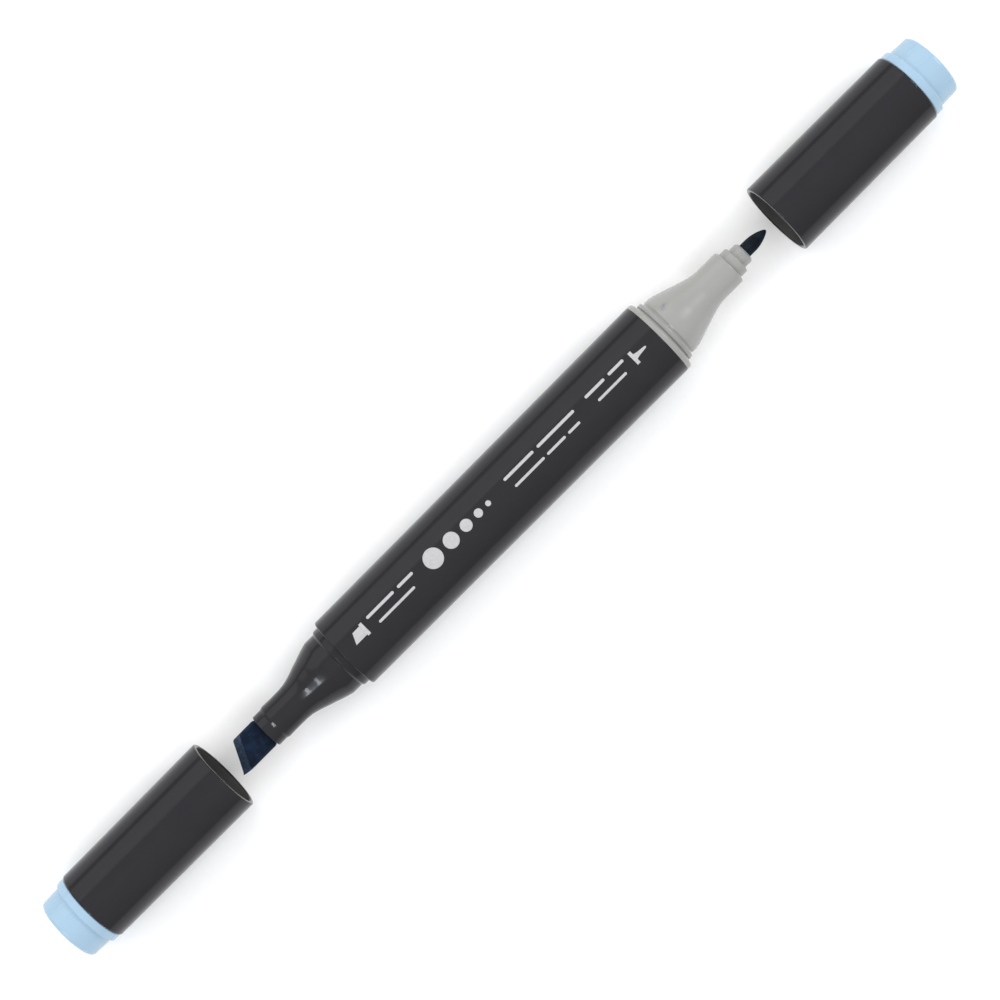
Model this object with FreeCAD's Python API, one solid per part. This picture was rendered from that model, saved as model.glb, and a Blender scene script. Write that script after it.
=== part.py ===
import FreeCAD, Part
import math
import os

# Twin-tip felt marker, pulled open: a tapered barrel with a chisel nib on the
# -X end and a fine nib on the +X end, and one cap drawn straight off each end.
# The barrel axis runs along X.  Y is across the chisel nib's width, Z is up,
# and the widest part of the barrel touches Z = 0.

# ---------------------------------------------------------------- dimensions
# barrel
BARREL_X0, BARREL_X1 = -36.82, 37.78     # end faces
BARREL_R0, BARREL_R1 = 7.07, 7.29        # outer radius at each end (draft)
BORE_R = 5.95
# chisel nozzle
SPIGOT_R = 5.93
SPIGOT_L = 8.0
SPIGOT_BORE_R = 5.0
C_COLLAR_R, C_COLLAR_X = 6.22, -37.93
C_BASE_R, C_BASE_X0, C_BASE_X1 = 5.86, -38.35, -40.30
C_CYL_R0, C_CYL_R1 = 3.42, 3.37
C_CYL_X0, C_CYL_X1 = -48.90, -53.20
C_BAND_R, C_FRONT_X = 3.25, -55.30
# chisel nib
NIB_W, NIB_T, NIB_EDGE_R = 5.75, 3.20, 1.10
NIB_LONG_X, NIB_SHORT_X = -62.95, -60.12  # long and short corner of the slant
NIB_BEVEL_L, NIB_BEVEL_D = 1.45, 0.95
NIB_BACK_X = -45.2
TAIL_W, TAIL_T, TAIL_R = 4.40, 2.60, 0.80
# fine nozzle
F_RING_R, F_RING_X = 7.27, 38.80
F_COLLAR_R, F_COLLAR_X = 6.25, 40.00
F_BASE_R, F_BASE_X = 5.80, 41.25
F_CYL_R, F_CYL_X0, F_CYL_X1 = 3.315, 49.85, 55.00
F_BORE_R = 2.30
# stepped nib holder
H_SHANK_R, H_SHANK_X = 2.28, 46.5
H_STEP1_R, H_STEP1_X = 2.65, 56.66
H_STEP2_R, H_STEP2_X = 2.00, 58.55
H_CHAMFER = 0.34
H_BORE_R = 1.295
# fine nib
F_NIB_R, F_NIB_TIP_X = 1.275, 63.67
# ink reservoir
CORE_R = 5.50
FILM_R0, FILM_R1 = 5.52, 5.60
TAIL_DEPTH = 6.8
# caps, measured inward from the mouth
SLEEVE_L, RING_L, PLUG_L = 31.30, 1.60, 4.20
SLEEVE_R0, SLEEVE_R1 = 7.075, 6.93
SLEEVE_BORE_R = 6.05
SEAT_L = 1.60
SEAT_CLEARANCE = 0.05
REAR_BORE_R = 6.25
CUP_RIM, CUP_FLOOR, CUP_FLANGE, CUP_BACK = 12.8, 27.0, 27.2, 28.4
CUP_R = 4.10
CUP_BORE_R = {"chisel": 3.46, "fine": 3.375}
RING_R = 6.72
PLUG_R0, PLUG_R1 = 6.22, 6.11
PLUG_SPIGOT_R = 6.23
PLUG_HOLLOW_R, PLUG_HOLLOW_END = 4.90, 35.80
CAP_GAP = 2.5                            # mouth to nib tip, cap pulled off
CAP_L = SLEEVE_L + RING_L + PLUG_L

# row placement: centre of the whole length at X = 0, lowest point at Z = 0
X_LOW = NIB_LONG_X - CAP_GAP - CAP_L
X_HIGH = F_NIB_TIP_X + CAP_GAP + CAP_L
SHIFT = FreeCAD.Vector(-(X_LOW + X_HIGH) / 2.0, 0, max(BARREL_R1, F_RING_R))


# ------------------------------------------------------------------- helpers
def V(x, r):
    return FreeCAD.Vector(x, 0, r)


def profile(points):
    """Closed wire in the XZ half plane.  A point is (x, r) or (x, r, fillet)."""
    n = len(points)
    cut = []
    for i, p in enumerate(points):
        a, b = V(*p[:2]), None
        f = p[2] if len(p) > 2 else 0.0
        if f <= 0:
            cut.append((a, a, None))
            continue
        prev, nxt = V(*points[i - 1][:2]), V(*points[(i + 1) % n][:2])
        d0, d1 = (prev - a), (nxt - a)
        l0, l1 = d0.Length, d1.Length
        d0.normalize()
        d1.normalize()
        ang = d0.getAngle(d1)
        t = min(f / math.tan(ang / 2.0), 0.48 * l0, 0.48 * l1)
        rad = t * math.tan(ang / 2.0)
        bis = d0 + d1
        bis.normalize()
        centre = a + bis * (rad / math.sin(ang / 2.0))
        cut.append((a + d0 * t, a + d1 * t, centre - bis * rad))
    edges = []
    for i in range(n):
        start, end, mid = cut[i]
        if mid is not None:
            edges.append(Part.Arc(start, mid, end).toShape())
        nstart = cut[(i + 1) % n][0]
        if (nstart - end).Length > 1e-7:
            edges.append(Part.LineSegment(end, nstart).toShape())
    return Part.Wire(edges)


def turned(points):
    face = Part.Face(profile(points))
    solid = face.revolve(FreeCAD.Vector(0, 0, 0), FreeCAD.Vector(1, 0, 0), 360)
    if solid.Volume < 0:
        solid.reverse()
    return solid


def bar(width, thick, radius, x0, x1):
    """Bar along X with a rounded rectangular section."""
    w, t, r = width / 2.0, thick / 2.0, radius
    box = Part.makeBox(x1 - x0, width, thick, FreeCAD.Vector(x0, -w, -t))
    edges = [e for e in box.Edges
             if abs(e.Vertexes[0].Point.x - e.Vertexes[1].Point.x) > 1e-6]
    return box.makeFillet(r, edges)


def single(shape):
    shape = shape.removeSplitter()
    if shape.ShapeType != "Solid":
        assert len(shape.Solids) == 1, len(shape.Solids)
        shape = shape.Solids[0]
    assert shape.isValid()
    return shape


def write(name, shape):
    shape = single(shape)
    shape.translate(SHIFT)
    shape.exportStep("parts/%s.step" % name)
    b = shape.BoundBox
    print("%-24s vol %9.2f  x %8.2f %8.2f  z %6.2f %6.2f"
          % (name, shape.Volume, b.XMin, b.XMax, b.ZMin, b.ZMax))


def frac(x, xa, ra, xb, rb):
    return ra + (rb - ra) * (x - xa) / (xb - xa)


os.makedirs("parts", exist_ok=True)

# --------------------------------------------------------------- barrel tube
write("barrel_tube", turned([
    (BARREL_X0, BORE_R), (BARREL_X0, BARREL_R0, 0.18),
    (BARREL_X1, BARREL_R1, 0.10), (BARREL_X1, BORE_R)]))

# -------------------------------------------------------------- chisel nozzle
c_in = BARREL_X0 + SPIGOT_L
outer = [
    (c_in, SPIGOT_BORE_R), (c_in, SPIGOT_R, 0.25), (BARREL_X0, SPIGOT_R),
    (BARREL_X0, C_COLLAR_R), (C_COLLAR_X, C_COLLAR_R, 0.22),
    (C_BASE_X0, C_BASE_R, 0.15), (C_BASE_X1, C_BASE_R, 0.35),
    (-40.78, 5.74, 0.3), (-42.03, 5.36), (-43.28, 4.92), (-44.53, 4.48),
    (-45.78, 4.09), (-47.03, 3.71), (-47.75, 3.54, 0.8),
    (C_CYL_X0, C_CYL_R0, 1.5), (C_CYL_X1, C_CYL_R1, 0.12),
    (C_CYL_X1 - 0.10, C_BAND_R, 0.05), (C_FRONT_X, C_BAND_R, 0.22),
    (C_FRONT_X, 0.0), (-46.4, 0.0), (-46.4, 3.0), (-41.0, 4.65),
    (-38.6, SPIGOT_BORE_R)]
nozzle = turned(outer)
channel = bar(NIB_W + 0.04, NIB_T + 0.04, NIB_EDGE_R + 0.02, C_FRONT_X - 1, -46.0)
write("chisel_nozzle", nozzle.cut(channel))

# ----------------------------------------------------------------- chisel nib
nib = bar(NIB_W, NIB_T, NIB_EDGE_R, NIB_LONG_X - 1.0, NIB_BACK_X)
hw = NIB_W / 2.0
along = FreeCAD.Vector(NIB_SHORT_X - NIB_LONG_X, NIB_W, 0)
along.normalize()
out = FreeCAD.Vector(-along.y, along.x, 0)          # out of the slanted end
corner = FreeCAD.Vector(NIB_LONG_X, -hw, 0)


def end_cut(z0, z1, back0, back1):
    """Wedge ahead of the slanted end: its rear face runs from back0 at z0 to back1 at z1."""
    a = corner - along * 3.0
    pts = []
    for back, z in ((back0, z0), (back1, z1)):
        p = a - out * back
        pts.append(FreeCAD.Vector(p.x, p.y, z))
    for z in (z1, z0):
        p = a + out * 4.0
        pts.append(FreeCAD.Vector(p.x, p.y, z))
    face = Part.Face(Part.makePolygon(pts + [pts[0]]))
    return face.extrude(along * 14.0)


nib = nib.cut(end_cut(-3.0, 3.0, 0.0, 0.0))
ht = NIB_T / 2.0
k = NIB_BEVEL_L / NIB_BEVEL_D
nib = nib.cut(end_cut(ht - NIB_BEVEL_D, ht + 1.0, 0.0, k * (NIB_BEVEL_D + 1.0)))
nib = nib.cut(end_cut(-(ht - NIB_BEVEL_D), -(ht + 1.0), 0.0, k * (NIB_BEVEL_D + 1.0)))
nib = single(nib)
front = [e for e in nib.Edges if max(v.Point.x for v in e.Vertexes) < NIB_SHORT_X + 0.6
         and e.Length > 1.0]
try:
    soft = nib.makeFillet(0.16, [e for e in front if abs(e.tangentAt(e.FirstParameter).dot(along)) > 0.98])
    if soft.isValid() and abs(soft.Volume - nib.Volume) < 2.0:
        nib = soft
except Exception:
    pass
tail = bar(TAIL_W, TAIL_T, TAIL_R, NIB_BACK_X - 0.5, c_in + TAIL_DEPTH)
write("chisel_nib", nib.fuse(tail))

# ----------------------------------------------------------------- fine nozzle
f_in = BARREL_X1 - SPIGOT_L
write("fine_nozzle", turned([
    (f_in, SPIGOT_BORE_R), (f_in, SPIGOT_R, 0.25), (BARREL_X1, SPIGOT_R),
    (BARREL_X1, F_RING_R, 0.10), (F_RING_X, F_RING_R, 0.28),
    (F_RING_X, F_COLLAR_R, 0.10), (F_COLLAR_X, F_COLLAR_R, 0.28),
    (F_COLLAR_X + 0.18, F_BASE_R, 0.10), (F_BASE_X, F_BASE_R, 0.4),
    (41.75, 5.72, 0.3), (42.34, 5.61), (43.0, 5.41), (43.9, 5.11), (44.84, 4.78),
    (46.1, 4.38), (47.34, 3.98), (48.6, 3.59, 0.8), (F_CYL_X0, 3.36, 1.6),
    (51.4, F_CYL_R, 3.0), (F_CYL_X1, F_CYL_R, 0.22),
    (F_CYL_X1, F_BORE_R), (49.4, F_BORE_R), (41.4, 4.65), (39.6, SPIGOT_BORE_R)]))

# ---------------------------------------------------------- stepped nib holder
write("fine_nib_holder", turned([
    (H_SHANK_X, H_BORE_R), (H_SHANK_X, H_SHANK_R, 0.3), (F_CYL_X1, H_SHANK_R),
    (F_CYL_X1, H_STEP1_R), (H_STEP1_X, H_STEP1_R, 0.2),
    (H_STEP1_X, H_STEP2_R, 0.08), (H_STEP2_X - H_CHAMFER, H_STEP2_R, 0.12),
    (H_STEP2_X, H_STEP2_R - H_CHAMFER, 0.06), (H_STEP2_X, H_BORE_R)]))

# ------------------------------------------------------------------- fine nib
tip = [V(x, r) for x, r in (
    (59.9, F_NIB_R), (60.5, 1.25), (61.1, 1.17), (61.72, 1.03), (62.35, 0.83),
    (62.97, 0.57), (63.42, 0.33), (F_NIB_TIP_X, 0.0))]
curve = Part.BSplineCurve()
curve.interpolate(tip, InitialTangent=FreeCAD.Vector(1, 0, 0),
                  FinalTangent=FreeCAD.Vector(0.0, 0, -1))
x_back = f_in - TAIL_DEPTH
wire = Part.Wire([
    Part.LineSegment(V(x_back, 0), V(x_back, F_NIB_R)).toShape(),
    Part.LineSegment(V(x_back, F_NIB_R), tip[0]).toShape(),
    curve.toShape(),
    Part.LineSegment(tip[-1], V(x_back, 0)).toShape()])
fine_nib = Part.Face(wire).revolve(FreeCAD.Vector(0, 0, 0), FreeCAD.Vector(1, 0, 0), 360)
if fine_nib.Volume < 0:
    fine_nib.reverse()
write("fine_nib", fine_nib)

# --------------------------------------------------------------- ink reservoir
core = turned([(c_in, 0.0), (c_in, CORE_R), (f_in, CORE_R), (f_in, 0.0)])
core = core.cut(bar(TAIL_W + 0.1, TAIL_T + 0.1, TAIL_R + 0.05, c_in - 1.0, c_in + TAIL_DEPTH + 0.2))
core = core.cut(Part.makeCylinder(F_NIB_R + 0.03, TAIL_DEPTH + 1.2,
                                  FreeCAD.Vector(x_back - 0.2, 0, 0), FreeCAD.Vector(1, 0, 0)))
write("reservoir_core", core)
write("reservoir_film", turned([
    (c_in, FILM_R0), (c_in, FILM_R1), (f_in, FILM_R1), (f_in, FILM_R0)]))


# ----------------------------------------------------------------------- caps
def cap(kind, mouth, direction, collar_r):
    def X(points):
        out_pts = [(mouth + direction * p[0],) + tuple(p[1:]) for p in points]
        return out_pts

    seat_r = collar_r + SEAT_CLEARANCE
    write(kind + "_cap_sleeve", turned(X([
        (0.0, seat_r + 0.15), (0.0, SLEEVE_R0, 0.28),
        (SLEEVE_L, SLEEVE_R1, 0.16), (SLEEVE_L, REAR_BORE_R),
        (CUP_FLANGE, REAR_BORE_R), (CUP_FLANGE, SLEEVE_BORE_R),
        (SEAT_L + 0.4, SLEEVE_BORE_R), (SEAT_L, seat_r), (0.2, seat_r)])))
    bore = CUP_BORE_R[kind]
    write(kind + "_cap_inner_cup", turned(X([
        (CUP_RIM, bore + 0.2), (CUP_RIM, CUP_R, 0.2), (CUP_FLANGE, CUP_R, 0.5),
        (CUP_FLANGE, PLUG_SPIGOT_R), (CUP_BACK, PLUG_SPIGOT_R), (CUP_BACK, 0.0),
        (CUP_FLOOR, 0.0), (CUP_FLOOR, bore, 0.5), (CUP_RIM + 0.4, bore)])))
    ring_end = SLEEVE_L + RING_L
    write(kind + "_cap_plug", turned(X([
        (CUP_BACK, PLUG_HOLLOW_R), (CUP_BACK, PLUG_SPIGOT_R), (SLEEVE_L, PLUG_SPIGOT_R),
        (SLEEVE_L, RING_R, 0.12), (ring_end, RING_R, 0.30),
        (ring_end, PLUG_R0, 0.12), (CAP_L, PLUG_R1, 0.65), (CAP_L, 0.0),
        (PLUG_HOLLOW_END, 0.0), (PLUG_HOLLOW_END, PLUG_HOLLOW_R, 0.6)])))


cap("chisel", NIB_LONG_X - CAP_GAP, -1.0, C_COLLAR_R)
cap("fine", F_NIB_TIP_X + CAP_GAP, 1.0, F_COLLAR_R)

print("shift", SHIFT, "length", X_HIGH - X_LOW)
print("chisel cap travel", (BARREL_X0 - 0.1) - (NIB_LONG_X - CAP_GAP))
print("fine cap travel", (F_NIB_TIP_X + CAP_GAP) - (F_RING_X + 0.1))
print("chisel cap mouth x", NIB_LONG_X - CAP_GAP + SHIFT.x, "fine cap mouth x", F_NIB_TIP_X + CAP_GAP + SHIFT.x)
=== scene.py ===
import math

import bmesh
import bpy
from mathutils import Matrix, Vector, noise


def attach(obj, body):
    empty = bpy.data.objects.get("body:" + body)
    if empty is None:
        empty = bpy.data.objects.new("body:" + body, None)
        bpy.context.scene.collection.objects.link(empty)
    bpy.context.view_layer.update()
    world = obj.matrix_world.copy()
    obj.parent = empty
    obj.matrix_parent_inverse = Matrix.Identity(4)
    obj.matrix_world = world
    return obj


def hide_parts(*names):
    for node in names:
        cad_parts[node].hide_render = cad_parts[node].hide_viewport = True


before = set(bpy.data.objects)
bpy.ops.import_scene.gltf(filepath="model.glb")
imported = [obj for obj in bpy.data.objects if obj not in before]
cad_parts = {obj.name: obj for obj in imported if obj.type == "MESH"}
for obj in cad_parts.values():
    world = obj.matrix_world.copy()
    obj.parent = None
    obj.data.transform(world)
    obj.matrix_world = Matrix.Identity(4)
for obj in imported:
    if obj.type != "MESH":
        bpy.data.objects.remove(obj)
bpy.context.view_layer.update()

MM = 0.001
SHIFT_X = -0.36          # mm, profile X to row X
AXIS_Z = 7.29            # mm, height of the barrel's axis
SEG = 160


# ============================================================ mesh builders
def rounded(points, arc=5):
    """A closed profile of (x, r[, fillet]) in mm -> dense list of (x, r, hard)."""
    n = len(points)
    out = []
    for i, p in enumerate(points):
        a = Vector(p[:2])
        f = p[2] if len(p) > 2 else 0.0
        if f <= 0:
            out.append((a, True, True))
            continue
        prev, nxt = Vector(points[i - 1][:2]), Vector(points[(i + 1) % n][:2])
        d0, d1 = prev - a, nxt - a
        l0, l1 = d0.length, d1.length
        d0.normalize(); d1.normalize()
        ang = d0.angle(d1)
        if math.pi - ang < 0.012:
            out.append((a, False, False))
            continue
        t = min(f / math.tan(ang / 2), 0.48 * l0, 0.48 * l1)
        rad = t * math.tan(ang / 2)
        bis = (d0 + d1).normalized()
        c = a + bis * (rad / math.sin(ang / 2))
        s, e = a + d0 * t - c, a + d1 * t - c
        sweep = s.angle(e)
        steps = max(2, int(math.ceil(sweep / math.radians(90.0 / arc))))
        for k in range(steps + 1):
            w = k / steps
            v = (s * math.sin((1 - w) * sweep) + e * math.sin(w * sweep)) / math.sin(sweep)
            out.append((c + v, False, False))
    dense = []
    m = len(out)
    for i in range(m):
        a, hard, _ = out[i]
        b = out[(i + 1) % m][0]
        dense.append((a.x, a.y, hard))
        L = (b - a).length
        if L > 0.25:
            pad = min(0.06, 0.2 * L)
            cuts = [pad / L]
            k = max(1, int(L / 1.6))
            cuts += [pad / L + (1 - 2 * pad / L) * j / k for j in range(1, k)]
            cuts += [1 - pad / L]
            for w in cuts:
                q = a.lerp(b, w)
                dense.append((q.x, q.y, False))
    return dense


def place(x, r, ang):
    return Vector(((x + SHIFT_X) * MM, r * math.cos(ang) * MM, (AXIS_Z + r * math.sin(ang)) * MM))


def finish_mesh(name, bm, mats):
    bmesh.ops.remove_doubles(bm, verts=bm.verts, dist=1e-8)
    bmesh.ops.recalc_face_normals(bm, faces=bm.faces)
    me = bpy.data.meshes.new(name)
    bm.to_mesh(me)
    bm.free()
    for m in mats:
        me.materials.append(m)
    ob = bpy.data.objects.new(name, me)
    bpy.context.scene.collection.objects.link(ob)
    return ob


def lathe(name, points, mats, seg=SEG, wobble=None, sharp_deg=32.0, face_mat=None):
    """Closed solid of revolution about the barrel's axis from a closed profile in mm."""
    prof = rounded(points) if not (points and isinstance(points[0], tuple) and len(points[0]) == 4) else points
    bm = bmesh.new()
    rings = []
    for x, r, hard in prof:
        if r < 1e-6:
            rings.append([bm.verts.new(place(x, 0, 0))])
            continue
        ring = []
        for k in range(seg):
            a = 2 * math.pi * k / seg
            p = place(x, r, a)
            if wobble:
                p = wobble(p, x, r, a)
            ring.append(bm.verts.new(p))
        rings.append(ring)
    n = len(rings)
    for i in range(n):
        A, B = rings[i], rings[(i + 1) % n]
        if len(A) == 1 and len(B) == 1:
            continue
        for k in range(seg):
            k2 = (k + 1) % seg
            if len(A) == 1:
                f = bm.faces.new((A[0], B[k], B[k2]))
            elif len(B) == 1:
                f = bm.faces.new((A[k], B[0], A[k2]))
            else:
                f = bm.faces.new((A[k], B[k], B[k2], A[k2]))
            f.smooth = True
            if face_mat:
                xm = 0.5 * (prof[i][0] + prof[(i + 1) % n][0])
                rm = 0.5 * (prof[i][1] + prof[(i + 1) % n][1])
                f.material_index = face_mat(xm, rm)
    bmesh.ops.recalc_face_normals(bm, faces=bm.faces)
    lim = math.radians(sharp_deg)
    for e in bm.edges:
        if len(e.link_faces) == 2 and e.calc_face_angle(0.0) > lim:
            e.smooth = False
    return finish_mesh(name, bm, mats)


# ================================================================ materials
def new_mat(name):
    m = bpy.data.materials.new(name)
    m.use_nodes = True
    nt = m.node_tree
    nt.nodes.clear()
    out = nt.nodes.new("ShaderNodeOutputMaterial")
    bsdf = nt.nodes.new("ShaderNodeBsdfPrincipled")
    nt.links.new(bsdf.outputs["BSDF"], out.inputs["Surface"])
    tc = nt.nodes.new("ShaderNodeTexCoord")
    return m, nt, bsdf, tc


def mapped(nt, tc, scale):
    mp = nt.nodes.new("ShaderNodeMapping")
    mp.inputs["Scale"].default_value = scale
    nt.links.new(tc.outputs["Object"], mp.inputs["Vector"])
    return mp.outputs["Vector"]


def noise_tex(nt, vec, scale, detail=4.0, rough=0.55, distortion=0.0):
    t = nt.nodes.new("ShaderNodeTexNoise")
    t.inputs["Scale"].default_value = scale
    t.inputs["Detail"].default_value = detail
    t.inputs["Roughness"].default_value = rough
    t.inputs["Distortion"].default_value = distortion
    nt.links.new(vec, t.inputs["Vector"])
    return t.outputs["Fac"]


def ramp(nt, fac, stops):
    r = nt.nodes.new("ShaderNodeValToRGB")
    els = r.color_ramp.elements
    while len(els) < len(stops):
        els.new(0.5)
    for el, (p, c) in zip(els, stops):
        el.position = p
        el.color = (c[0], c[1], c[2], 1.0) if hasattr(c, "__len__") else (c, c, c, 1.0)
    nt.links.new(fac, r.inputs["Fac"])
    return r.outputs["Color"]


def math_node(nt, op, a, b):
    n = nt.nodes.new("ShaderNodeMath")
    n.operation = op
    for sock, v in zip(n.inputs, (a, b)):
        if isinstance(v, (int, float)):
            sock.default_value = v
        else:
            nt.links.new(v, sock)
    return n.outputs[0]


def bump(nt, bsdf, height, strength, distance):
    b = nt.nodes.new("ShaderNodeBump")
    b.inputs["Strength"].default_value = strength
    b.inputs["Distance"].default_value = distance
    nt.links.new(height, b.inputs["Height"])
    nt.links.new(b.outputs["Normal"], bsdf.inputs["Normal"])


def mix_color(nt, fac, a, b):
    n = nt.nodes.new("ShaderNodeMix")
    n.data_type = "RGBA"
    nt.links.new(fac, n.inputs["Factor"])
    for sock, v in ((n.inputs["A"], a), (n.inputs["B"], b)):
        if isinstance(v, tuple):
            sock.default_value = (v[0], v[1], v[2], 1.0)
        else:
            nt.links.new(v, sock)
    return n.outputs["Result"]


def plastic(name, dark, light, rough_lo, rough_hi, ior, flow=1.0, grain=0.05, scratch=True, smudge=None):
    """Moulded plastic: faint flow marks along the axis, fine grain, hairline handling scratches."""
    m, nt, bsdf, tc = new_mat(name)
    long_vec = mapped(nt, tc, (14.0, 160.0, 160.0))
    flow_n = noise_tex(nt, long_vec, 1.2, 5.0, 0.6, 0.4)
    fine_vec = mapped(nt, tc, (1.0, 1.0, 1.0))
    mottling = noise_tex(nt, fine_vec, 260.0, 3.0, 0.5)
    grain_n = noise_tex(nt, fine_vec, 5200.0, 2.0, 0.5)
    both = math_node(nt, "ADD", math_node(nt, "MULTIPLY", flow_n, 0.6),
                     math_node(nt, "MULTIPLY", mottling, 0.4))
    col = ramp(nt, both, [(0.30, dark), (0.72, light)])
    if smudge:
        for (px, py, pz), rad, tint in smudge:
            mp = nt.nodes.new("ShaderNodeMapping")
            mp.vector_type = "POINT"
            s = 1.0 / rad
            mp.inputs["Location"].default_value = (-px * s, -py * s * 1.6, -pz * s)
            mp.inputs["Scale"].default_value = (s, s * 1.6, s)
            nt.links.new(tc.outputs["Object"], mp.inputs["Vector"])
            g = nt.nodes.new("ShaderNodeTexGradient")
            g.gradient_type = "SPHERICAL"
            nt.links.new(mp.outputs["Vector"], g.inputs["Vector"])
            blot = noise_tex(nt, fine_vec, 1500.0, 3.0, 0.6)
            fac = math_node(nt, "MULTIPLY", g.outputs["Fac"], ramp(nt, blot, [(0.38, 0.0), (0.62, 1.0)]))
            col = mix_color(nt, fac, col, tint)
    nt.links.new(col, bsdf.inputs["Base Color"])
    rough = noise_tex(nt, mapped(nt, tc, (60.0, 220.0, 220.0)), 1.6, 4.0, 0.6)
    rr = nt.nodes.new("ShaderNodeMapRange")
    rr.inputs["From Min"].default_value = 0.3
    rr.inputs["From Max"].default_value = 0.7
    rr.inputs["To Min"].default_value = rough_lo
    rr.inputs["To Max"].default_value = rough_hi
    nt.links.new(rough, rr.inputs["Value"])
    nt.links.new(rr.outputs["Result"], bsdf.inputs["Roughness"])
    bsdf.inputs["IOR"].default_value = ior
    h = math_node(nt, "ADD", math_node(nt, "MULTIPLY", grain_n, 0.35),
                  math_node(nt, "MULTIPLY", flow_n, 0.9 * flow))
    if scratch:
        v = nt.nodes.new("ShaderNodeTexVoronoi")
        v.feature = "DISTANCE_TO_EDGE"
        v.inputs["Scale"].default_value = 1.0
        nt.links.new(mapped(nt, tc, (45.0, 900.0, 700.0)), v.inputs["Vector"])
        line = ramp(nt, v.outputs["Distance"], [(0.0, 0.0), (0.012, 1.0)])
        rare = ramp(nt, noise_tex(nt, fine_vec, 150.0, 2.0, 0.5), [(0.56, 1.0), (0.66, 0.0)])
        hair = math_node(nt, "MAXIMUM", line, rare)
        h = math_node(nt, "ADD", h, math_node(nt, "MULTIPLY", hair, 0.30))
    bump(nt, bsdf, h, grain, 0.00004)
    return m


def felt(name, deep, mid, fleck, cut=False):
    """Pressed fibre soaked with ink: strands along the nib, or their ends on a cut face."""
    m, nt, bsdf, tc = new_mat(name)
    stretch = (2200.0, 2600.0, 2600.0) if cut else (420.0, 4200.0, 4200.0)
    strands = noise_tex(nt, mapped(nt, tc, stretch), 1.0, 5.0, 0.68, 0.8)
    patches = noise_tex(nt, mapped(nt, tc, (1.0, 1.0, 1.0)), 620.0, 5.0, 0.62, 0.6)
    body = math_node(nt, "ADD", math_node(nt, "MULTIPLY", strands, 0.5),
                     math_node(nt, "MULTIPLY", patches, 0.5))
    col = ramp(nt, body, [(0.40, deep), (0.51, mid), (0.64, fleck)])
    nt.links.new(col, bsdf.inputs["Base Color"])
    rr = nt.nodes.new("ShaderNodeMapRange")
    rr.inputs["From Min"].default_value = 0.3
    rr.inputs["From Max"].default_value = 0.7
    rr.inputs["To Min"].default_value = 0.62
    rr.inputs["To Max"].default_value = 0.92
    nt.links.new(strands, rr.inputs["Value"])
    nt.links.new(rr.outputs["Result"], bsdf.inputs["Roughness"])
    bsdf.inputs["IOR"].default_value = 1.23
    bsdf.inputs["Sheen Weight"].default_value = 0.03
    bsdf.inputs["Sheen Roughness"].default_value = 0.6
    bsdf.inputs["Sheen Tint"].default_value = (0.35, 0.55, 0.9, 1.0)
    bump(nt, bsdf, body, 0.65, 0.00010)
    return m


def ink_print(name):
    """Pad-printed ink with slightly uneven coverage."""
    m, nt, bsdf, tc = new_mat(name)
    cover = noise_tex(nt, mapped(nt, tc, (1.0, 1.0, 1.0)), 2600.0, 4.0, 0.6)
    nt.links.new(ramp(nt, cover, [(0.25, (0.365, 0.361, 0.366)), (0.6, (0.435, 0.430, 0.438))]),
                 bsdf.inputs["Base Color"])
    rr = nt.nodes.new("ShaderNodeMapRange")
    rr.inputs["To Min"].default_value = 0.42
    rr.inputs["To Max"].default_value = 0.60
    nt.links.new(cover, rr.inputs["Value"])
    nt.links.new(rr.outputs["Result"], bsdf.inputs["Roughness"])
    bump(nt, bsdf, cover, 0.15, 0.00002)
    return m


SMUDGE = [(((41.85 + SHIFT_X) * MM, 3.1 * MM, (AXIS_Z + 4.8) * MM), 0.0012, (0.10, 0.125, 0.155)),
          (((58.1 + SHIFT_X) * MM, -0.3 * MM, (AXIS_Z + 1.8) * MM), 0.0012, (0.15, 0.19, 0.26))]
dark = plastic("dark_grey_plastic", (0.0098, 0.0096, 0.0122), (0.0138, 0.0136, 0.0166), 0.11, 0.17, 1.32, grain=0.022)
# Lighter copy of the dark plastic for the caps' inside faces: painted light, standing in for light that reaches into
# the mouth; the sleeve itself is one dark plastic throughout.
painted_light_inner = plastic("dark_grey_inner_painted_light", (0.045, 0.044, 0.043), (0.058, 0.057, 0.055), 0.42, 0.55, 1.44, grain=0.03, scratch=False)
light = plastic("light_grey_plastic", (0.268, 0.267, 0.256), (0.280, 0.279, 0.268), 0.18, 0.25, 1.46,
                flow=0.0, grain=0.010, scratch=False, smudge=SMUDGE)
blue = plastic("sky_blue_plastic", (0.290, 0.428, 0.552), (0.302, 0.443, 0.570), 0.22, 0.30, 1.46, flow=0.0, grain=0.010)
natural = plastic("natural_plastic", (0.60, 0.60, 0.575), (0.68, 0.68, 0.655), 0.36, 0.50, 1.48, flow=0.4, grain=0.03, scratch=False)
navy = felt("navy_felt", (0.0008, 0.0030, 0.0085), (0.0020, 0.0075, 0.0215), (0.0056, 0.0170, 0.0430))
# Cut face of the felt: lighter for the fibre ends, and lighter still as a painted sheen for the facet that faces the
# side light.
navy_cut_ends_and_sheen = felt("navy_felt_cut_and_painted_sheen", (0.010, 0.018, 0.034), (0.022, 0.036, 0.060), (0.050, 0.070, 0.100), cut=True)
black_felt = felt("dark_felt", (0.0016, 0.0030, 0.0065), (0.0042, 0.0075, 0.0120), (0.012, 0.020, 0.030))
fibre = felt("inked_fibre", (0.02, 0.05, 0.11), (0.05, 0.12, 0.24), (0.12, 0.24, 0.40))
film_mat = plastic("clear_film", (0.55, 0.55, 0.53), (0.62, 0.62, 0.60), 0.12, 0.22, 1.5, scratch=False)
ink = ink_print("print_ink")


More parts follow.
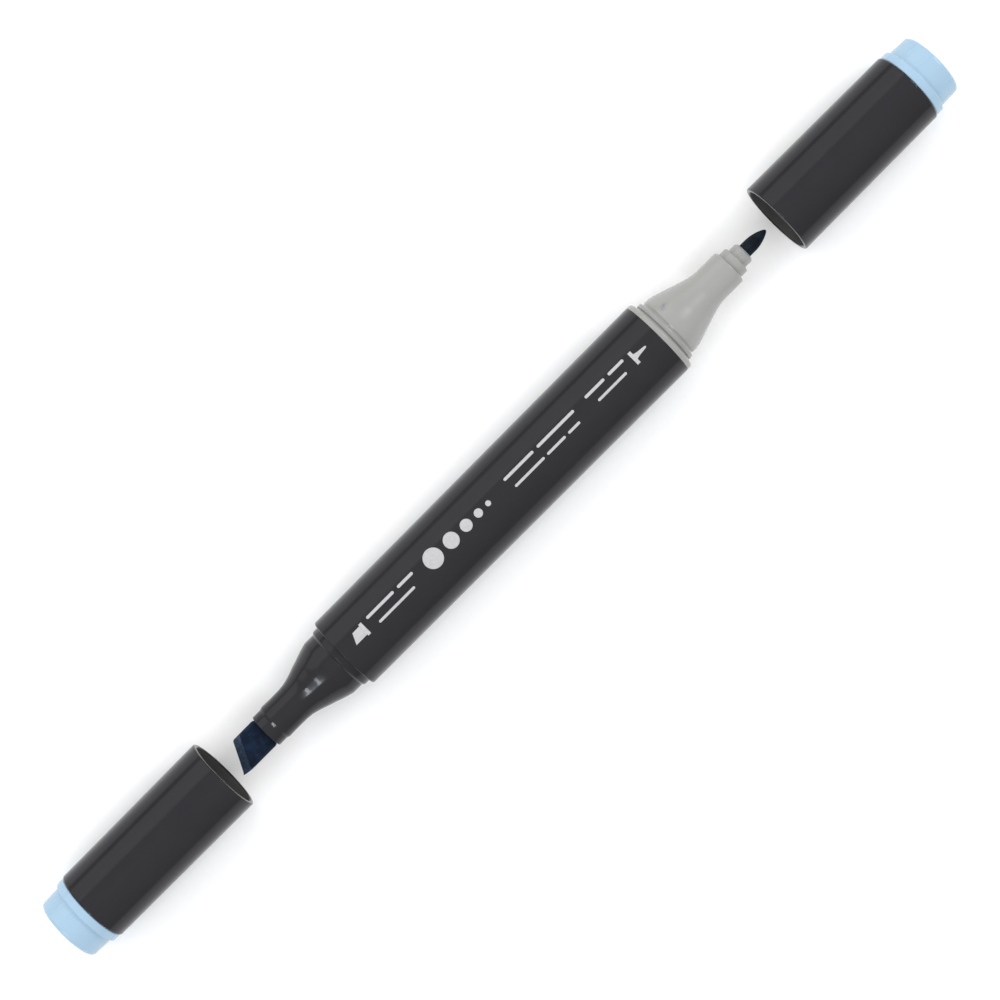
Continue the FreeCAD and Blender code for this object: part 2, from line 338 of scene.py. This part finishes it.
# ============================================================ marker pieces
SPIGOT_R, SPIGOT_BORE_R, SPIGOT_L = 5.93, 5.0, 8.0
BX0, BX1, BR0, BR1 = -36.82, 37.78, 7.07, 7.29

barrel = lathe("barrel_shell", [
    (BX0, 5.95), (BX0, BR0, 0.34), (BX1, BR1, 0.10), (BX1, 5.95)], [dark])
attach(barrel, "marker"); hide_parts("barrel_tube")

c_in = BX0 + SPIGOT_L


def flare(x0, r0, x1, r1, n=34):
    """Points of a flare from (x0, r0) to (x1, r1); its slope has two soft ridges."""
    def slope(x):
        w = (x - x0) / (x1 - x0)
        base = 15.2 + 3.1 * min(1.0, w / 0.17) if w < 0.5 else 15.0 + 3.3 * min(1.0, (1 - w) / 0.17)
        base += 2.4 * math.exp(-((x + 45.25) / 0.36) ** 2) + 2.4 * math.exp(-((x + 42.80) / 0.30) ** 2)
        return math.tan(math.radians(base))
    xs = [x0 + (x1 - x0) * k / n for k in range(n + 1)]
    rs = [0.0]
    for a, b in zip(xs, xs[1:]):
        rs.append(rs[-1] + 0.5 * (slope(a) + slope(b)) * (b - a))
    k = (r1 - r0) / rs[-1]
    return [(x, r0 + r * k, 0.4) for x, r in zip(xs, rs)]


chisel_nozzle_pts = [
    (c_in, SPIGOT_BORE_R), (c_in, SPIGOT_R, 0.25), (BX0, SPIGOT_R),
    (BX0, 6.22), (-37.93, 6.22, 0.36),
    (-38.35, 5.86, 0.15), (-40.30, 5.86, 0.9)]
chisel_nozzle_pts += list(reversed(flare(-47.03, 3.71, -40.90, 5.72)))
chisel_nozzle_pts += [
    (-47.75, 3.54, 3.0),
    (-48.90, 3.42, 3.0), (-51.00, 3.395, 3.0), (-53.04, 3.44, 0.12),
    (-53.58, 3.247, 0.12), (-55.30, 3.25, 0.24)]
f_in = BX1 - SPIGOT_L


def rrect(width, thick, radius, n_side=6, n_arc=8):
    """Rounded rectangle outline as (y, z), anticlockwise, in mm."""
    w, t = width / 2 - radius, thick / 2 - radius
    pts = []
    for cx, cz, a0 in ((w, t, 0), (-w, t, 90), (-w, -t, 180), (w, -t, 270)):
        for k in range(n_arc + 1):
            a = math.radians(a0 + 90.0 * k / n_arc)
            pts.append((cx + radius * math.cos(a), cz + radius * math.sin(a)))
    out = []
    for i, p in enumerate(pts):
        q = pts[(i + 1) % len(pts)]
        out.append(p)
        L = math.hypot(q[0] - p[0], q[1] - p[1])
        k = int(L / 0.24)
        for j in range(1, k):
            out.append((p[0] + (q[0] - p[0]) * j / k, p[1] + (q[1] - p[1]) * j / k))
    return out


def nozzle_with_slot(name, pts, slot_outline, x_front, x_slot_back, inner, mats):
    """Lathed shell whose front face opens into a rounded rectangular channel."""
    seg = len(slot_outline)
    prof = rounded(pts + [(x_front, 3.06)])[:]
    # keep only the outside part: from the spigot's rear lip round to the front face
    end = max(i for i, p in enumerate(prof) if abs(p[0] - x_front) < 1e-6 and abs(p[1] - 3.06) < 1e-6)
    prof = prof[:end + 1]
    angs = [math.atan2(z, y) for y, z in slot_outline]
    bm = bmesh.new()
    rings = []
    for x, r, hard in prof:
        rings.append([bm.verts.new(place(x, r, a)) for a in angs])

    def slot_ring(x, grow=0.0):
        ring = []
        for (y, z), a in zip(slot_outline, angs):
            rad = math.hypot(y, z) + grow
            ring.append(bm.verts.new(place(x, rad, a)))
        return ring
    rings.append(slot_ring(x_front, 0.05))
    rings.append(slot_ring(x_front + 0.05, 0.0))
    for k in range(1, 6):
        rings.append(slot_ring(x_front + 0.05 + (x_slot_back - x_front - 0.05) * k / 5.0))
    for x, r in inner:
        rings.append([bm.verts.new(place(x, r, a)) for a in angs])
    n = len(rings)
    for i in range(n):
        A, B = rings[i], rings[(i + 1) % n]
        for k in range(seg):
            k2 = (k + 1) % seg
            f = bm.faces.new((A[k], B[k], B[k2], A[k2]))
            f.smooth = True
    bmesh.ops.recalc_face_normals(bm, faces=bm.faces)
    for e in bm.edges:
        if len(e.link_faces) == 2 and e.calc_face_angle(0.0) > math.radians(32):
            e.smooth = False
    return finish_mesh(name, bm, mats)


slot_outline = rrect(5.79, 3.24, 1.12, n_arc=12)
chisel_nozzle = nozzle_with_slot(
    "chisel_nozzle_shell", chisel_nozzle_pts, slot_outline, -55.30, -46.42,
    [(-46.4, 3.05), (-41.0, 4.65), (-38.6, 5.0), (-33.5, 5.0)], [dark])
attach(chisel_nozzle, "marker"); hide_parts("chisel_nozzle")

fine_nozzle = lathe("fine_nozzle_shell", [
    (f_in, SPIGOT_BORE_R), (f_in, SPIGOT_R, 0.25), (BX1, SPIGOT_R),
    (BX1, 7.27, 0.10), (38.80, 7.27, 0.46),
    (38.80, 6.08, 0.12), (39.08, 6.08, 0.12), (39.26, 6.25, 0.14), (40.00, 6.25, 0.40),
    (40.04, 5.68, 0.12), (40.34, 5.68, 0.14), (40.54, 5.80, 0.14), (41.25, 5.80, 1.2),
    (41.85, 5.70, 1.0), (42.45, 5.58, 1.0), (43.1, 5.38, 1.5), (43.9, 5.11, 2.5), (44.84, 4.78, 3.0),
    (46.1, 4.38, 3.0), (47.34, 3.98, 3.0), (48.6, 3.59, 3.0), (49.85, 3.36, 3.0),
    (51.4, 3.315, 3.0), (55.00, 3.315, 0.42),
    (55.00, 2.30), (49.4, 2.30), (41.4, 4.65), (39.6, 5.0)], [light])
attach(fine_nozzle, "marker"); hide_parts("fine_nozzle")

holder = lathe("nib_holder_steps", [
    (46.5, 1.295), (46.5, 2.28, 0.3), (55.0, 2.28),
    (55.0, 2.65, 0.08), (56.66, 2.65, 0.34),
    (56.66, 2.00, 0.08), (58.21, 2.00, 0.25),
    (58.55, 1.66, 0.12), (58.55, 1.295, 0.05)], [light], seg=128)
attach(holder, "marker"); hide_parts("fine_nib_holder")


def fibre_wobble(amp, along, across):
    def f(p, x, r, a):
        q = Vector((p.x * along, p.y * across, p.z * across))
        d = noise.fractal(q, 0.9, 2.1, 3) * amp
        c = Vector((p.x, 0.0, AXIS_Z * MM))
        n = (p - c)
        if n.length < 1e-7:
            return p
        n.normalize()
        return p + n * d * MM
    return f


tip_pts = [(59.9, 1.275), (60.2, 1.266), (60.5, 1.248), (60.8, 1.216), (61.1, 1.17), (61.4, 1.106), (61.72, 1.03),
           (62.03, 0.938), (62.35, 0.83), (62.66, 0.708), (62.97, 0.57), (63.22, 0.445), (63.42, 0.325),
           (63.56, 0.21), (63.64, 0.10)]
prof = [(22.98, 0.0, True), (22.98, 1.26, True)]
prof += [(23.5 + k * (58.2 - 23.5) / 30.0, 1.272, False) for k in range(31)]
prof += [(58.3 + k * 0.16, 1.275, False) for k in range(10)]
prof += [(x, r, False) for x, r in tip_pts] + [(63.66, 0.0, False)]
bm_prof = prof


def lathe_raw(name, prof, mats, seg, wobble):
    bm = bmesh.new()
    rings = []
    for x, r, hard in prof:
        if r < 1e-6:
            rings.append([bm.verts.new(place(x, 0, 0))])
        else:
            rings.append([bm.verts.new(wobble(place(x, r, 2 * math.pi * k / seg), x, r, 2 * math.pi * k / seg))
                          for k in range(seg)])
    for A, B in zip(rings, rings[1:]):
        for k in range(seg):
            k2 = (k + 1) % seg
            if len(A) == 1:
                f = bm.faces.new((A[0], B[k], B[k2]))
            elif len(B) == 1:
                f = bm.faces.new((A[k], B[0], A[k2]))
            else:
                f = bm.faces.new((A[k], B[k], B[k2], A[k2]))
            f.smooth = True
    return finish_mesh(name, bm, mats)


def outside_only(fn, x_from, x_to):
    def g(p, x, r, a):
        return fn(p, x, r, a) if x_from <= x <= x_to else p
    return g


fine_nib = lathe_raw("fine_felt_nib", bm_prof, [black_felt], 96,
                     outside_only(fibre_wobble(0.020, 900.0, 3600.0), 58.7, 63.7))
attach(fine_nib, "marker"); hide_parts("fine_nib")


# --------------------------------------------------------------- chisel nib
def build_chisel_nib():
    W, T, R = 5.75, 3.20, 1.10
    LONG, SHORT = -63.15, -60.36
    BL, BD = 1.45, 0.95
    ring2d = rrect(W, T, R, n_arc=10)
    n = len(ring2d)
    slope = (SHORT - LONG) / W
    kx = math.sqrt(1 + slope * slope)

    def x_end(y):
        return LONG + (y + W / 2) * slope

    def point(y, z, d, shrink=0.0):
        """d is the distance back from the slanted end line."""
        lim = T / 2 - BD * max(0.0, 1 - d / BL)
        zz = max(-lim, min(lim, z))
        x = x_end(y) + d * kx
        yy = y
        # the long corner is dressed back a little, the short corner is rounded
        edge = -W / 2 + max(0.0, (-61.55 - x)) * 0.17
        yy = max(yy, edge)
        top = W / 2 - max(0.0, 0.30 - d) ** 2 * 2.2
        yy = min(yy, top)
        if shrink:
            zz *= 1 - shrink / max(lim, 1e-6) if abs(zz) > 1e-9 else 1
            yy -= math.copysign(min(shrink, abs(yy)), yy) * (abs(yy) / (W / 2))
        return x, yy, zz
    bm = bmesh.new()
    rings, zone = [], []

    def ring(d, shrink=0.0):
        vs = []
        for y, z in ring2d:
            x, yy, zz = point(y, z, d, shrink)
            vs.append((x, yy, zz))
        return vs
    stations = []
    # slanted stations from the cut end backwards
    stations.append((ring(0.0, 0.16), 1))
    stations.append((ring(0.0, 0.07), 1))
    stations.append((ring(0.03, 0.02), 1))
    for d in (0.09, 0.25, 0.42, 0.60, 0.78, 0.96, 1.14, 1.30, 1.41):
        stations.append((ring(d), 1))
    stations.append((ring(1.46), 0))
    stations.append((ring(1.52), 0))
    last = ring(1.60)
    stations.append((last, 0))
    x_exit = -56.6
    steps = 22
    for k in range(1, steps + 1):
        w = k / steps
        vs = []
        for (y, z), (lx, ly, lz) in zip(ring2d, last):
            xs = lx + (x_exit - lx) * w
            edge = -W / 2 + max(0.0, (-61.55 - xs)) * 0.17
            vs.append((xs, max(y, edge), z))
        stations.append((vs, 0))
    for x, pinch in ((-56.1, 0.0), (-55.85, 0.02), (-55.6, 0.14), (-55.38, 0.24), (-55.2, 0.26), (-54.0, 0.26), (-50.0, 0.26), (-45.3, 0.26)):
        ky, kz = 1 - pinch / (W / 2), 1 - 0.5 * pinch / (T / 2)
        stations.append(([(x, y * ky, z * kz) for y, z in ring2d], 0))
    bms = []
    for vs, mat in stations:
        row = []
        for x, y, z in vs:
            p = Vector(((x + SHIFT_X) * MM, y * MM, (AXIS_Z + z) * MM))
            if x < -55.7:
                fade = min(1.0, (-55.7 - x) / 0.5)
                q = Vector((p.x * 700.0, p.y * 3200.0, p.z * 3200.0))
                q2 = Vector((p.x * 420.0, p.y * 520.0, p.z * 520.0))
                d = (noise.fractal(q, 0.9, 2.1, 3) * 0.016 + noise.noise(q2) * 0.022) * fade
                nrm = Vector((0.0, y / (W / 2) if abs(y) > W / 2 - 0.6 else 0.0, z / (T / 2)))
                if nrm.length > 1e-6:
                    p = p + nrm.normalized() * d * MM
            row.append(bm.verts.new(p))
        bms.append((row, mat))
    for (A, ma), (B, mb) in zip(bms, bms[1:]):
        for k in range(n):
            k2 = (k + 1) % n
            f = bm.faces.new((A[k], B[k], B[k2], A[k2]))
            f.smooth = True
            f.material_index = 1 if (ma == 1 and mb == 1) or (ma == 1 and mb == 0) else 0
    # slanted end face: two more rings in, then a fill
    prev = bms[0][0]
    for s in (0.5, 0.15):
        cz = AXIS_Z * MM
        row = []
        for v, (y, z) in zip(bms[0][0], ring2d):
            row.append(bm.verts.new(Vector((v.co.x, v.co.y, cz + (v.co.z - cz) * s))))
        for k in range(n):
            k2 = (k + 1) % n
            if (prev[k].co - prev[k2].co).length + (row[k].co - row[k2].co).length < 1e-9:
                continue
            f = bm.faces.new((prev[k], row[k], row[k2], prev[k2]))
            f.smooth = True
            f.material_index = 1
        prev = row
    f = bm.faces.new(prev)
    f.material_index = 1
    # rear end and its tail into the reservoir
    f = bm.faces.new(list(reversed(bms[-1][0])))
    # facets of the cut keep a crisp edge
    bmesh.ops.remove_doubles(bm, verts=bm.verts, dist=2e-7)
    bmesh.ops.dissolve_degenerate(bm, dist=1e-7, edges=bm.edges)
    bmesh.ops.recalc_face_normals(bm, faces=bm.faces)
    for e in bm.edges:
        if len(e.link_faces) == 2 and e.calc_face_angle(0.0) > math.radians(40):
            e.smooth = False
    # the cut end faces use the lighter felt: fibre ends plus a painted sheen
    return finish_mesh("chisel_felt_nib", bm, [navy, navy_cut_ends_and_sheen])


chisel_nib = build_chisel_nib()
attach(chisel_nib, "marker"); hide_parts("chisel_nib")

tail_bm = bmesh.new()
tail_ring = rrect(4.40, 2.60, 0.80, n_arc=6)
rows = []
for x in (-45.28, -44.9, -40.0, -34.0, -28.0, -22.3, -22.02):
    s = 0.97 if x in (-45.28, -22.02) else 1.0
    rows.append([tail_bm.verts.new(Vector(((x + SHIFT_X) * MM, y * s * MM, (AXIS_Z + z * s) * MM))) for y, z in tail_ring])
for A, B in zip(rows, rows[1:]):
    for k in range(len(A)):
        k2 = (k + 1) % len(A)
        f = tail_bm.faces.new((A[k], B[k], B[k2], A[k2])); f.smooth = True
tail_bm.faces.new(rows[0]); tail_bm.faces.new(list(reversed(rows[-1])))
nib_tail = finish_mesh("chisel_nib_tail", tail_bm, [navy])
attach(nib_tail, "marker")


# ======================================================================= caps
def cap(kind, mouth, d, collar_r, cup_bore):
    body = kind + "_cap"
    L, RL, PL = 31.30, 1.60, 4.20
    seat = collar_r + 0.05

    def X(pts):
        return [(mouth + d * p[0],) + tuple(p[1:]) for p in pts]
    # The sleeve's inside faces take the lighter copy of the dark plastic: painted light inside the mouth.
    sleeve = lathe(kind + "_cap_shell", X([
        (0.0, seat + 0.17, 0.05), (0.0, 7.075, 0.28), (L, 6.93, 0.30), (L, 6.25),
        (27.2, 6.25), (27.2, 6.05), (2.0, 6.05, 0.4), (1.6, seat), (0.2, seat)]), [dark, painted_light_inner],
        face_mat=lambda xm, rm: 1 if rm < seat + 0.02 else 0)
    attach(sleeve, body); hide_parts(kind + "_cap_sleeve")
    cup = lathe(kind + "_cap_seal_cup", X([
        (12.8, cup_bore + 0.2, 0.05), (12.8, 4.10, 0.22), (27.2, 4.10, 0.5),
        (27.2, 6.23), (28.4, 6.23), (28.4, 0.0),
        (27.0, 0.0), (27.0, cup_bore, 0.5), (13.2, cup_bore, 0.3)]), [natural], seg=128)
    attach(cup, body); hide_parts(kind + "_cap_inner_cup")
    e = L + RL
    plug = lathe(kind + "_cap_end_plug", X([
        (28.4, 4.90), (28.4, 6.23), (L, 6.23), (L, 6.72, 0.22), (e, 6.72, 0.34),
        (e, 6.22, 0.16), (e + PL, 6.11, 0.65), (e + PL, 0.0), (35.8, 0.0), (35.8, 4.90, 0.6)]), [blue])
    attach(plug, body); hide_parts(kind + "_cap_plug")


cap("chisel", -65.45, -1.0, 6.22, 3.46)
cap("fine", 66.17, 1.0, 6.25, 3.375)


# ================================================================ print marks
def barrel_r(x):
    w = (x - BX0) / (BX1 - BX0)
    return BR0 + (BR1 - BR0) * w


PX = 1.0 / 6.4 / 1.015      # top-of-barrel print units to mm


def bar_poly(s0, s1, t0, t1, rad=None):
    h = (t1 - t0) / 2
    rad = h if rad is None else rad
    pts = []
    for cx, cy, a0 in ((s1 - rad, t1 - rad, 0), (s0 + rad, t1 - rad, 90), (s0 + rad, t0 + rad, 180), (s1 - rad, t0 + rad, 270)):
        for k in range(7):
            a = math.radians(a0 + 15 * k)
            pts.append((cx + rad * math.cos(a), cy + rad * math.sin(a)))
    return pts


def disc_poly(cx, cy, r, n=48):
    return [(cx + r * math.cos(2 * math.pi * k / n), cy + r * math.sin(2 * math.pi * k / n)) for k in range(n)]


polys = []
# a row of shrinking dots where a maker's word would stand
x = -107.0
for r in (11.6, 9.2, 7.0, 5.0, 3.2):
    polys.append(disc_poly(x + r, 4.0, r)); x += 2 * r + 6.6
# plain bars in two rows beside it
for row in ((17.6, 62.0, 7.6, 11.0), (68.0, 124.0, 7.6, 11.0), (21.6, 66.0, -5.6, -2.6), (70.5, 98.0, -5.6, -2.6), (102.5, 120.0, -5.6, -2.6),
            (142.0, 171.0, 8.4, 11.8), (177.0, 200.0, 8.4, 11.8), (150.0, 193.0, -3.7, -0.7),
            (-192.0, -151.0, 7.4, 10.8), (-145.0, -122.0, 7.4, 10.8), (-185.0, -131.0, -5.0, -2.0)):
    polys.append(bar_poly(*row))
# tip pictograms: a collar bar with a pointed tip, and one with a slanted tip
polys.append([(207.6, -5.0), (211.8, -5.0), (211.8, -0.2), (216.4, 0.9), (226.6, 2.0), (228.0, 3.2), (226.6, 4.4),
              (216.4, 5.5), (211.8, 6.6), (211.8, 11.4), (207.6, 11.4)])
polys.append([(-199.4, 10.6), (-203.4, 10.6), (-203.4, 8.8), (-214.0, 8.6), (-219.8, -3.6), (-203.4, -3.6), (-203.4, -5.4), (-199.4, -5.4)])

pbm = bmesh.new()
for poly in polys:
    b = bmesh.new()
    vs = [b.verts.new((s * PX, t * PX, 0.0)) for s, t in poly]
    b.faces.new(vs)
    tmin = min(t for s, t in poly) * PX
    tmax = max(t for s, t in poly) * PX
    t = tmin + 0.28
    while t < tmax - 0.05:
        bmesh.ops.bisect_plane(b, geom=b.verts[:] + b.edges[:] + b.faces[:], plane_co=(0, t, 0), plane_no=(0, 1, 0))
        t += 0.28
    smin = min(s for s, t in poly) * PX
    smax = max(s for s, t in poly) * PX
    s = smin + 1.2
    while s < smax - 0.2:
        bmesh.ops.bisect_plane(b, geom=b.verts[:] + b.edges[:] + b.faces[:], plane_co=(s, 0, 0), plane_no=(1, 0, 0))
        s += 1.2
    base = b.faces[:]
    got = bmesh.ops.extrude_face_region(b, geom=base)
    for v in [g for g in got["geom"] if isinstance(g, bmesh.types.BMVert)]:
        v.co.z = 1.0
    bmesh.ops.recalc_face_normals(b, faces=b.faces)
    for v in b.verts:
        s, tt, lift = v.co
        rr = barrel_r(s)
        ang = math.asin(max(-1.0, min(1.0, tt / rr)))
        r = rr + (0.014 if lift > 0.5 else -0.03)
        v.co = Vector(((s + SHIFT_X) * MM, r * math.sin(ang) * MM, (AXIS_Z + r * math.cos(ang)) * MM))
    tmp = bpy.data.meshes.new("tmp")
    b.to_mesh(tmp); b.free()
    pbm.from_mesh(tmp)
    bpy.data.meshes.remove(tmp)
prints = finish_mesh("barrel_print", pbm, [ink])
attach(prints, "marker")

# carried-over pieces sealed inside the barrel
for node, mat in (("reservoir_core", fibre), ("reservoir_film", film_mat)):
    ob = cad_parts[node]
    ob.data.materials.clear()
    ob.data.materials.append(mat)


# =============================================================== floor, light
floor_bm = bmesh.new()
N = 24
grid = {}
for i in range(N + 1):
    for j in range(N + 1):
        grid[i, j] = floor_bm.verts.new(((i / N - 0.5) * 6.0, (j / N - 0.5) * 6.0, 0.0))
for i in range(N):
    for j in range(N):
        floor_bm.faces.new((grid[i, j], grid[i + 1, j], grid[i + 1, j + 1], grid[i, j + 1]))
fm, fnt, fb, ftc = new_mat("paper_floor")
tooth = noise_tex(fnt, mapped(fnt, ftc, (1.0, 1.0, 1.0)), 900.0, 3.0, 0.5)
fnt.links.new(ramp(fnt, tooth, [(0.2, (0.905, 0.905, 0.902)), (0.8, (0.925, 0.925, 0.922))]), fb.inputs["Base Color"])
fb.inputs["Roughness"].default_value = 0.85
fb.inputs["IOR"].default_value = 1.3
floor = finish_mesh("floor", floor_bm, [fm])

world = bpy.data.worlds.new("studio")
bpy.context.scene.world = world
world.use_nodes = True
wnt = world.node_tree
bg = wnt.nodes["Background"]
bg.inputs["Strength"].default_value = 1.0
wtc = wnt.nodes.new("ShaderNodeTexCoord")
wsep = wnt.nodes.new("ShaderNodeSeparateXYZ")
wnt.links.new(wtc.outputs["Generated"], wsep.inputs["Vector"])
wnt.links.new(ramp(wnt, wsep.outputs["Z"], [(0.0, (0.50, 0.49, 0.465)), (0.12, (0.56, 0.555, 0.54)),
                                            (0.40, (0.76, 0.76, 0.755)), (0.80, (0.92, 0.92, 0.925)),
                                            (1.0, (1.0, 1.0, 1.02))]), bg.inputs["Color"])
bg.inputs["Strength"].default_value = 1.24


def softbox(name, centre, target, sx, sy, radiance, color=(1, 1, 1)):
    ld = bpy.data.lights.new(name, "AREA")
    ld.shape = "RECTANGLE"
    ld.size, ld.size_y = sx, sy
    ld.energy = radiance * math.pi * sx * sy
    ld.color = color
    ob = bpy.data.objects.new(name, ld)
    bpy.context.scene.collection.objects.link(ob)
    ob.location = centre
    ob.rotation_euler = (Vector(target) - Vector(centre)).to_track_quat("-Z", "Y").to_euler()
    ob.visible_camera = False
    return ob


softbox("side_soft", (0.0, 0.56, 0.40), (0.0, 0.0, 0.02), 1.2, 0.56, 0.78)
softbox("near_glint", (-0.685, -0.07, 0.62), (0.0, 0.0, 0.0), 0.36, 0.022, 66.0, (0.90, 0.94, 1.0))
softbox("far_glint", (0.82, -0.06, 0.62), (0.0, 0.0, 0.0), 0.36, 0.05, 50.0, (0.96, 0.98, 1.0))

# ===================================================================== camera
cam_data = bpy.data.cameras.new("main")
cam_data.sensor_width = 36.0
cam_data.lens = 100.4
cam_data.clip_start = 0.01
cam_data.clip_end = 20.0
cam = bpy.data.objects.new("main", cam_data)
bpy.context.scene.collection.objects.link(cam)
cam.location = (-0.0004, -0.0004, 0.00729 + 0.469)
cam.rotation_euler = (0.0, 0.0, math.radians(-45.09))
bpy.context.scene.camera = cam
bpy.context.scene.view_settings.view_transform = "Standard"
bpy.context.scene.view_settings.look = "None"
